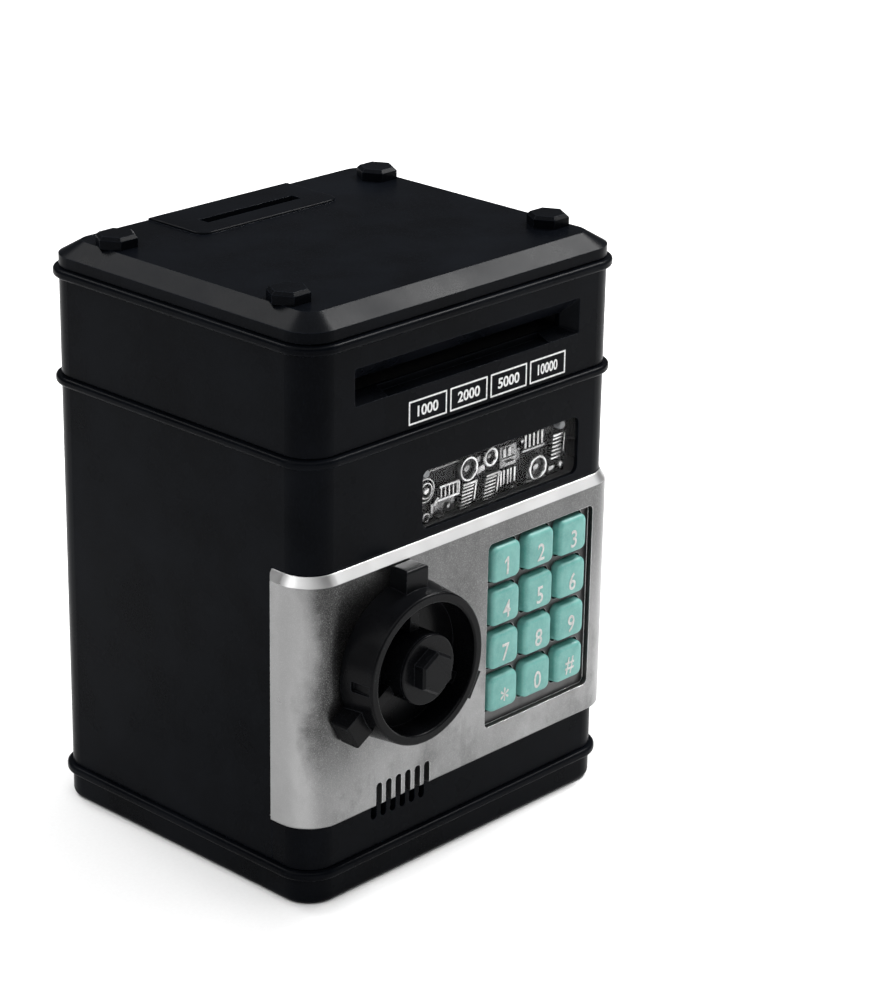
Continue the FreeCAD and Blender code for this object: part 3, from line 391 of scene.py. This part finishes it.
def speaker_paper():
    """Pressed black paper with short fibres."""
    made = Finish("cone_paper", (0.02, 0.02, 0.02), 0.85, specular=0.2)
    fibre = made.noise(1400.0, 5.0, 0.75, stretch=(1.0, 1.0, 0.35))
    made.colour(made.mix(made.span(fibre, 0.45, 0.72, 0.0, 1.0), (0.012, 0.012, 0.013),
                         (0.06, 0.058, 0.055)))
    made.roughness(made.span(fibre, 0.3, 0.7, 0.78, 0.95))
    made.bump(fibre, 0.06 * MM)
    return made.material


def lamp_lens():
    """Frosted lens of a status lamp."""
    made = Finish("lamp_lens", (0.75, 0.78, 0.8), 0.18, specular=0.5)
    made.put("Transmission Weight", 0.6)
    made.put("IOR", 1.5)
    cloud = made.noise(700.0, 3.0)
    made.colour(made.mix(cloud, (0.82, 0.84, 0.86), (0.6, 0.64, 0.68)))
    made.roughness(made.span(cloud, 0.3, 0.7, 0.12, 0.26))
    return made.material


def cell_jacket():
    """Printed shrink sleeve of a dry cell in two plain tones, with a fine grain."""
    made = Finish("cell_jacket", (0.03, 0.06, 0.14), 0.28, metallic=0.3)
    grain = made.noise(500.0, 4.0)
    band = made.waves(11.0, "X")
    tone = made.mix(made.span(band, 0.62, 0.66, 0.0, 1.0), (0.02, 0.05, 0.13), (0.45, 0.46, 0.47))
    made.colour(made.mix(made.span(grain, 0.45, 0.75, 0.0, 0.35), tone, (0.08, 0.1, 0.16)))
    made.roughness(made.span(grain, 0.3, 0.7, 0.22, 0.38))
    made.bump(grain, 0.02 * MM)
    return made.material


def acetal(name, dark, light):
    """Milky gear plastic with moulding flow marks."""
    made = Finish(name, light, 0.4, specular=0.45)
    made.put("Subsurface Weight", 0.1)
    made.put("Subsurface Scale", 0.8 * MM)
    made.round_edges(0.1 * MM)
    flow = made.noise(300.0, 4.0, stretch=(0.3, 1.0, 1.0))
    made.colour(made.mix(made.span(flow, 0.4, 0.7, 0.0, 1.0), light, dark))
    made.roughness(made.span(flow, 0.3, 0.7, 0.34, 0.5))
    made.bump(made.noise(1800.0, 2.0), 0.01 * MM)
    return made.material


def painted_floor():
    """Pale studio sweep with a barely visible paper tooth."""
    made = Finish("studio_paper", (0.9, 0.9, 0.9), 0.9, specular=0.1)
    tooth = made.noise(900.0, 3.0)
    made.colour(made.mix(made.span(tooth, 0.3, 0.7, 0.0, 1.0), (0.89, 0.89, 0.89), (0.92, 0.92, 0.92)))
    return made.material


finishes = {
    "case_black": moulded("case_black", (0.0013, 0.0016, 0.0024), (0.0055, 0.0066, 0.009), 0.28,
                          specular=0.022),
    "inner_black": moulded("inner_black", (0.013, 0.013, 0.014), (0.04, 0.04, 0.042), 0.52,
                           grain=1100.0, specular=0.22),
    "dial_black": moulded("dial_black", (0.0014, 0.0015, 0.0018), (0.0075, 0.008, 0.0095), 0.26,
                          grain=2600.0, depth=0.006 * MM, specular=0.06),
    "silver_paint": silver_paint(),
    "chrome_relief": dark_chrome(),
    "window_clear": clear_lens(),
    "key_mint": key_plastic(),
    "key_rubber": rubber("key_rubber", (0.32, 0.33, 0.34), (0.42, 0.43, 0.43)),
    "roller_rubber": rubber("roller_rubber", (0.012, 0.012, 0.012), (0.05, 0.048, 0.045)),
    "board_green": circuit_board(),
    "parts_black": moulded("parts_black", (0.01, 0.01, 0.011), (0.04, 0.04, 0.042), 0.4, grain=2400.0),
    "lamp_lens": lamp_lens(),
    "cone_paper": speaker_paper(),
    "screw_steel": metal("screw_steel", (0.5, 0.5, 0.5), (0.24, 0.24, 0.25), 0.32, (1.0, 0.1, 1.0)),
    "shaft_steel": metal("shaft_steel", (0.58, 0.58, 0.58), (0.3, 0.3, 0.31), 0.24, (0.06, 1.0, 1.0)),
    "plated_steel": metal("plated_steel", (0.62, 0.61, 0.58), (0.33, 0.32, 0.3), 0.3, (1.0, 1.0, 0.1)),
    "coil_copper": copper_winding(),
    "gear_white": acetal("gear_white", (0.6, 0.58, 0.52), (0.78, 0.77, 0.72)),
    "gear_brass": metal("gear_brass", (0.7, 0.5, 0.2), (0.38, 0.26, 0.1), 0.3),
    "cell_jacket": cell_jacket(),
}
key_ink = pad_print("key_ink", (0.62, 0.63, 0.61))
case_ink = pad_print("case_ink", (0.85, 0.85, 0.85))


def paint_cad_nodes():
    """Gives every carried-over CAD node its slot's procedural finish."""
    slots = {part["node"]: part["material_slot"] for part in frame["record"]["subparts"]}
    for name, obj in frame["nodes"].items():
        finish = finishes[slots[name]]
        if not obj.data.materials:
            obj.data.materials.append(finish)
        for index in range(len(obj.material_slots)):
            obj.material_slots[index].material = finish


# ================================================================ mesh helpers
def piece(name, mesh, body, slot, *materials):
    """Links a finished mesh as a piece that rides on body."""
    obj = bpy.data.objects.new(name, mesh)
    bpy.context.scene.collection.objects.link(obj)
    for material in materials:
        mesh.materials.append(material)
    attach(obj, body)
    return obj


def to_mesh(name, bm, smooth_angle=35.0):
    """Turns the bmesh into a mesh that is smooth except over sharp edges."""
    bmesh.ops.recalc_face_normals(bm, faces=bm.faces)
    limit = math.radians(smooth_angle)
    for face in bm.faces:
        face.smooth = True
    for edge in bm.edges:
        edge.smooth = not (len(edge.link_faces) == 2 and edge.calc_face_angle(0.0) > limit)
    mesh = bpy.data.meshes.new(name)
    bm.to_mesh(mesh)
    bm.free()
    return mesh


def rounded_rectangle(half_x, half_z, corner, steps=7):
    """Points round a rectangle with arc corners, as (x, z)."""
    points = []
    for quarter, (sx, sz) in enumerate(((1, 1), (-1, 1), (-1, -1), (1, -1))):
        for step in range(steps + 1):
            angle = math.radians(90.0 * (quarter + step / steps))
            points.append((sx * (half_x - corner) + corner * math.cos(angle),
                           sz * (half_z - corner) + corner * math.sin(angle)))
    return points


def loft(bm, rings):
    """Skins successive rings, each a list of 3-D points of equal count, and closes both ends."""
    layers = [[bm.verts.new(point) for point in ring] for ring in rings]
    count = len(layers[0])
    for lower, upper in zip(layers, layers[1:]):
        for i in range(count):
            j = (i + 1) % count
            bm.faces.new((lower[i], lower[j], upper[j], upper[i]))
    bm.faces.new(layers[0][::-1])
    bm.faces.new(layers[-1])


def add_block(bm, low, high, bevel, turn=0.0):
    """A block with rounded edges; turn spins it about its own middle, seen from the front."""
    low, high = Vector(low), Vector(high)
    made = bmesh.ops.create_cube(bm, size=1.0)["verts"]
    size, middle = high - low, (low + high) / 2
    bmesh.ops.scale(bm, vec=size, verts=made)
    if turn:
        bmesh.ops.rotate(bm, cent=(0, 0, 0), matrix=Matrix.Rotation(math.radians(turn), 3, "Y"), verts=made)
    bmesh.ops.translate(bm, vec=middle, verts=made)
    edges = list({edge for vert in made for edge in vert.link_edges})
    bmesh.ops.bevel(bm, geom=edges, offset=bevel, segments=2, affect="EDGES", profile=0.6)


def add_lathe(bm, centre, profile, steps, squash_x):
    """Turns profile, (radius, depth towards the front) pairs, about a line along -Y through centre."""
    cx, cy, cz = centre
    rings = []
    for radius, depth in profile:
        ring = []
        for step in range(steps):
            angle = math.tau * step / steps
            ring.append((cx + squash_x * radius * math.cos(angle), cy - depth,
                         cz + radius * math.sin(angle)))
        rings.append(ring)
    loft(bm, rings)


def text_mesh(name, text, height, thickness, embolden, width):
    """Upright lettering as a mesh in the XZ plane, centred, its face towards -Y."""
    curve = bpy.data.curves.new(name, "FONT")
    curve.body = text
    curve.align_x = "CENTER"
    curve.align_y = "CENTER"
    curve.size = height * CAPITAL
    curve.extrude = thickness / 2
    curve.offset = embolden
    curve.resolution_u = 6
    holder = bpy.data.objects.new(name, curve)
    bpy.context.scene.collection.objects.link(holder)
    bpy.context.view_layer.update()
    mesh = bpy.data.meshes.new_from_object(holder)
    bpy.data.objects.remove(holder)
    bpy.data.curves.remove(curve)
    mesh.transform(Matrix.Rotation(math.radians(90.0), 4, "X") @ Matrix.Diagonal((width, 1.0, 1.0, 1.0)))
    xs = [v.co.x for v in mesh.vertices]
    zs = [v.co.z for v in mesh.vertices]
    mesh.transform(Matrix.Translation((-(min(xs) + max(xs)) / 2, 0.0, -(min(zs) + max(zs)) / 2)))
    return mesh


def slice_finely(mesh, pitch):
    """Cuts a sign into small strips both ways, so that it can follow a crowned face."""
    bm = bmesh.new()
    bm.from_mesh(mesh)
    for axis, across in ((0, Vector((1.0, 0.0, 0.0))), (2, Vector((0.0, 0.0, 1.0)))):
        places = [vert.co[axis] for vert in bm.verts]
        start = min(places)
        for step in range(1, int((max(places) - start) / pitch) + 1):
            bmesh.ops.bisect_plane(bm, geom=bm.verts[:] + bm.edges[:] + bm.faces[:],
                                   plane_co=across * (start + step * pitch), plane_no=across)
    bm.to_mesh(mesh)
    bm.free()


def figure_one(name, height, thickness):
    """A plain numeral one with a slanted flag, centred like the other signs."""
    stem, flag = 0.145 * height, 0.24 * height
    outline = [(stem / 2, -height / 2), (stem / 2, height / 2), (-0.3 * stem, height / 2),
               (-flag, 0.3 * height), (-flag, 0.16 * height), (-stem / 2, 0.3 * height),
               (-stem / 2, -height / 2)]
    bm = bmesh.new()
    loft(bm, [[(x, y, z) for x, z in outline] for y in (thickness / 2, -thickness / 2)])
    return to_mesh(name, bm)


# ================================================================ keys
def key_ring(centre_x, centre_z, half_x, half_z, corner, y):
    """A rounded rectangle round a key's middle, at one depth."""
    return [(centre_x + x, y, centre_z + z) for x, z in rounded_rectangle(half_x, half_z, corner)]


def key_cap(name, label):
    """A mint key with a flange, rounded shoulders, a shallow crown and its printed sign."""
    low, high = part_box(name)
    centre_x, centre_z = (low.x + high.x) / 2, (low.z + high.z) / 2
    flange_x, flange_z = (high.x - low.x) / 2, (high.z - low.z) / 2
    half_x, half_z = flange_x - KEY_RIM[0], flange_z - KEY_RIM[1]
    rim_y = low.y + KEY_CROWN
    rings = [
        key_ring(centre_x, centre_z, flange_x, flange_z, KEY_CORNER, high.y),
        key_ring(centre_x, centre_z, flange_x, flange_z, KEY_CORNER, high.y - KEY_FLANGE),
        key_ring(centre_x, centre_z, half_x, half_z, KEY_CORNER, high.y - KEY_FLANGE),
    ]
    turns = 7
    for step in range(turns + 1):
        angle = math.radians(90.0 * step / turns)
        inset = KEY_DRAFT + KEY_EDGE * (1.0 - math.cos(angle))
        y = rim_y + KEY_EDGE * (1.0 - math.sin(angle))
        rings.append(key_ring(centre_x, centre_z, half_x - inset, half_z - inset,
                              max(KEY_CORNER - inset * 0.7, 0.9 * MM), y))
    edge = KEY_DRAFT + KEY_EDGE
    for share in (0.8, 0.6, 0.4, 0.2, 0.03):
        y = rim_y - KEY_CROWN * (1.0 - share ** 2)
        rings.append(key_ring(centre_x, centre_z, (half_x - edge) * share, (half_z - edge) * share,
                              max((KEY_CORNER - edge * 0.7) * share, 0.02 * MM), y))
    bm = bmesh.new()
    loft(bm, rings)
    cap = to_mesh(name + "_cap", bm, 50.0)
    if label == "1":
        sign = figure_one(name + "_sign", DIGIT_HEIGHT, SIGN_THICK)
    else:
        scale = STAR_SCALE if label == "*" else 1.0
        sign = text_mesh(name + "_sign", label, DIGIT_HEIGHT * scale, SIGN_THICK, DIGIT_BOLD, DIGIT_WIDTH)
    slice_finely(sign, SIGN_PITCH)
    sign.transform(Matrix.Translation((centre_x + DIGIT_SHIFT[0], 0.0, centre_z + DIGIT_SHIFT[1])))
    for vert in sign.vertices:
        across = (vert.co.x - centre_x) / (half_x - edge)
        up = (vert.co.z - centre_z) / (half_z - edge)
        dome = KEY_CROWN * max(0.0, 1.0 - max(across ** 2, up ** 2))
        vert.co.y += rim_y - dome - SIGN_LIFT
    key = piece(name + "_cap", cap, name, "key_mint", finishes["key_mint"])
    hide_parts(name)
    piece(name + "_sign", sign, name, "key_mint", key_ink)


# ================================================================ printed boxes on the front band
def box_frame(bm, centre_x, face_y):
    """The flat outline of one printed box."""
    half_x, half_z = BOX_SIZE[0] / 2, BOX_SIZE[1] / 2
    layers = []
    for inset, corner in ((0.0, 0.2 * MM), (BOX_LINE, 0.1 * MM)):
        outline = rounded_rectangle(half_x - inset, half_z - inset, corner, 2)
        layers.append([bm.verts.new((centre_x + x, face_y, BOX_Z + z)) for x, z in outline])
    outer, inner = layers
    for i in range(len(outer)):
        j = (i + 1) % len(outer)
        bm.faces.new((outer[i], outer[j], inner[j], inner[i]))


def denomination_print():
    """A row of outlined boxes with round note values, below the slot."""
    face_y = CASE_FRONT - PRINT_LIFT
    bm = bmesh.new()
    for index in range(len(BOX_LABELS)):
        box_frame(bm, BOX_FIRST_X + index * BOX_PITCH, face_y)
    mesh = bpy.data.meshes.new("denomination_boxes")
    bm.to_mesh(mesh)
    bm.free()
    piece("denomination_boxes", mesh, "case", "case_black", case_ink)
    for index, label in enumerate(BOX_LABELS):
        width = NOTE_WIDTH[len(label) - 4]
        text = text_mesh("denomination_" + label, label, NOTE_HEIGHT, PRINT_THICK, NOTE_BOLD, width)
        text.transform(Matrix.Translation((BOX_FIRST_X + index * BOX_PITCH, face_y, BOX_Z)))
        piece("denomination_" + label, text, "case", "case_black", case_ink)


# ================================================================ relief behind the window
def relief_machinery():
    """Moulded make-believe machinery: sheet, rings, louvre stacks, housings, ribs and studs.

    Places are u to the right and v upwards from the sheet's lower left corner. They, sizes and
    depths above the sheet are millimetres."""
    low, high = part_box("window_relief")
    floor_y = high.y - RELIEF_SHEET
    bm = bmesh.new()
    add_block(bm, (low.x, floor_y, low.z), (high.x, high.y, high.z), 0.3 * MM)

    def at(u, v, depth=0.0):
        return Vector((low.x + u * MM, floor_y - depth * MM, low.z + v * MM))

    def block(u0, u1, v0, v1, depth, bevel=0.18, turn=0.0):
        add_block(bm, at(u0, v0, depth), at(u1, v1, -0.2), bevel * MM, turn)

    def ring(u, v, outer, inner, depth):
        """A chamfered ring with a low hub inside."""
        wall = (outer - inner) * MM
        outer, inner, top = outer * MM, inner * MM, depth * MM
        add_lathe(bm, at(u, v), [(outer + 0.3 * MM, -0.2 * MM), (outer, 0.3 * top), (outer, 0.8 * top),
                                 (outer - 0.25 * wall, top), (inner + 0.25 * wall, top), (inner, 0.8 * top),
                                 (inner, 0.25 * top), (inner * 0.5, 0.2 * top), (inner * 0.42, 0.3 * top),
                                 (inner * 0.4, 0.5 * top), (inner * 0.3, 0.56 * top),
                                 (0.02 * MM, 0.56 * top)], 40, 1.0)

    def stud(u, v, radius, depth, squash=1.0):
        add_lathe(bm, at(u, v), [(radius * MM, -0.2 * MM), (radius * MM, 0.6 * depth * MM),
                                 (0.8 * radius * MM, 0.9 * depth * MM), (0.4 * radius * MM, depth * MM),
                                 (0.02 * MM, depth * MM)], 24, squash)

    def slats(u0, u1, v0, v1, count, depth, lean):
        """Louvre stack that leans by lean mm from bottom to top, with a rail down its right side."""
        pitch = (v1 - v0) / count
        for step in range(count):
            shift = lean * step / count
            widen = 0.25 * step / count
            block(u0 + shift, u1 + shift + widen, v0 + pitch * step, v0 + pitch * (step + 0.52), depth, 0.14)
        block(u0 + lean, u1 + lean + 1.6, v1 - 0.2, v1 + 0.55, depth, 0.16)
        for step in range(4):
            share = step / 4
            block(u1 + 0.9 + lean * (0.3 + 0.7 * share), u1 + 1.5 + lean * (0.3 + 0.7 * share),
                  v0 + 1.4 + (v1 - v0 - 1.2) * share, v0 + 1.6 + (v1 - v0 - 1.2) * (share + 0.25),
                  depth, 0.12)

    # Louvre stacks, with rings above or beside them.
    slats(19.5, 24.2, 0.5, 8.0, 7, 1.9, 1.3)
    slats(29.7, 34.4, 0.5, 8.2, 7, 1.9, 1.3)
    slats(60.6, 65.0, 6.0, 13.4, 6, 1.9, 0.9)
    ring(23.1, 13.0, 4.1, 3.0, 2.05)
    ring(33.1, 14.2, 3.2, 2.0, 1.9)
    ring(54.6, 5.0, 4.2, 3.1, 2.05)
    ring(5.0, 1.9, 1.8, 1.0, 1.6)
    # Foot and bracket of the right ring, and the links between the two left ones.
    block(49.9, 59.3, 0.3, 1.4, 1.3)
    block(50.4, 51.3, 1.2, 5.0, 1.1)
    block(27.2, 31.0, 10.0, 12.2, 1.2, 0.3, -14.0)
    block(26.0, 29.5, 13.6, 15.4, 0.9, 0.3)
    # Five ribs in a frame.
    for step in range(5):
        block(10.9 + 1.75 * step, 11.5 + 1.75 * step, 6.6, 10.2, 1.8, 0.14)
    block(10.4, 19.0, 10.0, 10.8, 1.9, 0.2)
    block(9.6, 19.2, 5.9, 6.7, 1.9, 0.2)
    block(18.6, 19.3, 6.2, 10.4, 1.9, 0.2)
    # Bent pipe, and the panel below the ribs with its stud and two-legged clip.
    block(7.0, 8.2, 1.4, 5.8, 1.5, 0.3)
    block(7.7, 10.9, 5.3, 6.6, 1.6, 0.3, -50.0)
    block(8.4, 18.2, 1.2, 5.6, 0.7, 0.3)
    stud(14.7, 3.2, 1.1, 1.7, 0.75)
    block(10.2, 13.0, 0.35, 0.95, 1.5, 0.12)
    block(10.7, 11.2, -0.2, 0.8, 1.5, 0.1)
    block(12.2, 12.7, -0.2, 0.8, 1.5, 0.1)
    # Coil at the left end, with its rail.
    ring(4.6, 10.8, 4.0, 3.4, 1.5)
    ring(4.6, 10.8, 2.7, 2.1, 1.9)
    stud(4.6, 10.8, 1.3, 2.1)
    block(1.4, 2.4, 5.8, 15.0, 1.0, 0.3)
    # Fins, and the housing above them.
    for step in range(5):
        block(37.5 + 1.55 * step, 38.3 + 1.55 * step, 3.2, 8.2, 1.7 - 0.2 * (step % 2), 0.16)
    block(38.0, 45.6, 8.6, 15.6, 0.9, 0.4)
    block(44.9, 47.4, 9.6, 13.4, 0.7, 0.3)
    block(39.0, 40.2, 12.2, 15.0, 1.4, 0.12)
    block(41.2, 42.4, 12.2, 15.0, 1.4, 0.12)
    block(38.4, 45.2, 11.2, 11.6, 1.3, 0.1)
    for step in range(3):
        stud(41.0 + 1.2 * step, 10.3, 0.35, 1.9)
    # Loose studs, the right end's block, the comb above the right ring, and the long rails.
    stud(43.9, 1.3, 0.7, 1.3)
    stud(47.8, 15.4, 0.8, 1.4)
    block(60.4, 63.4, 1.0, 3.6, 1.2, 0.25)
    stud(66.2, 3.0, 1.5, 1.6)
    block(47.8, 58.2, 11.4, 12.2, 1.3, 0.2)
    for step in range(5):
        block(48.6 + 1.9 * step, 49.5 + 1.9 * step, 12.6, 17.0, 1.5, 0.16)
    block(1.5, 20.0, 15.9, 16.6, 0.9, 0.2)
    block(1.5, 67.8, 18.3, 19.0, 1.2, 0.2)
    relief = piece("machine_relief", to_mesh("machine_relief", bm), "case", "chrome_relief",
                   finishes["chrome_relief"])
    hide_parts("window_relief")


# ================================================================ stage
def softbox(name, place, size, power):
    """A white rectangular light that points at the middle of the stage."""
    light = bpy.data.lights.new(name, "AREA")
    light.shape = "RECTANGLE"
    light.size, light.size_y = size
    light.energy = power
    obj = bpy.data.objects.new(name, light)
    bpy.context.scene.collection.objects.link(obj)
    obj.location = place
    obj.rotation_mode = "QUATERNION"
    obj.rotation_quaternion = (Vector(STAGE_MIDDLE) - Vector(place)).to_track_quat("-Z", "Y")


def stage():
    """Pale floor, soft studio lights, dim neutral surroundings."""
    bm = bmesh.new()
    bmesh.ops.create_grid(bm, x_segments=2, y_segments=2, size=FLOOR_HALF)
    mesh = bpy.data.meshes.new("studio_floor")
    bm.to_mesh(mesh)
    bm.free()
    floor = bpy.data.objects.new("studio_floor", mesh)
    bpy.context.scene.collection.objects.link(floor)
    mesh.materials.append(painted_floor())
    sky = bpy.data.lights.new("overhead_diffuser", "SUN")
    sky.angle = math.radians(90.0)
    sky.energy = 2.9
    overhead = bpy.data.objects.new("overhead_diffuser", sky)
    bpy.context.scene.collection.objects.link(overhead)
    overhead.rotation_euler = (math.radians(-4.0), math.radians(-10.0), 0.0)
    softbox("right_softbox", (0.92, -0.15, 1.12), (0.4, 0.4), 21.0)
    softbox("front_softbox", (0.88, -0.78, 0.64), (0.8, 0.35), 1.8)
    softbox("rear_softbox", (-0.12, 0.95, 1.25), (0.6, 0.5), 7.0)
    softbox("left_softbox", (-1.1, 0.2, 0.55), (0.5, 0.8), 2.0)
    world = bpy.data.worlds.new("studio")
    world.use_nodes = True
    background = world.node_tree.nodes["Background"]
    background.inputs["Color"].default_value = (1.0, 1.0, 1.0, 1.0)
    background.inputs["Strength"].default_value = 0.12
    bpy.context.scene.world = world
    bpy.context.scene.view_settings.view_transform = "Standard"


def camera():
    """The viewing angle and place named at the top."""
    data = bpy.data.cameras.new("camera")
    data.lens = CAMERA_LENS
    data.sensor_width = CAMERA_SENSOR
    obj = bpy.data.objects.new("camera", data)
    bpy.context.scene.collection.objects.link(obj)
    azimuth, elevation = math.radians(CAMERA_AZIMUTH), math.radians(CAMERA_ELEVATION)
    back = Vector((math.sin(azimuth) * math.cos(elevation), -math.cos(azimuth) * math.cos(elevation),
                   math.sin(elevation)))
    right = (-back).cross(Vector((0.0, 0.0, 1.0))).normalized()
    up = right.cross(-back)
    level = Matrix((right, up, back)).transposed()
    turn = Matrix.Rotation(math.radians(CAMERA_ROLL), 3, back)
    obj.matrix_world = Matrix.Translation(CAMERA_PLACE) @ (turn @ level).to_4x4()
    bpy.context.scene.camera = obj


# ================================================================ make everything
paint_cad_nodes()
for key_name, sign_text in KEY_LABELS.items():
    key_cap("key_" + key_name, sign_text)
denomination_print()
relief_machinery()
stage()
camera()
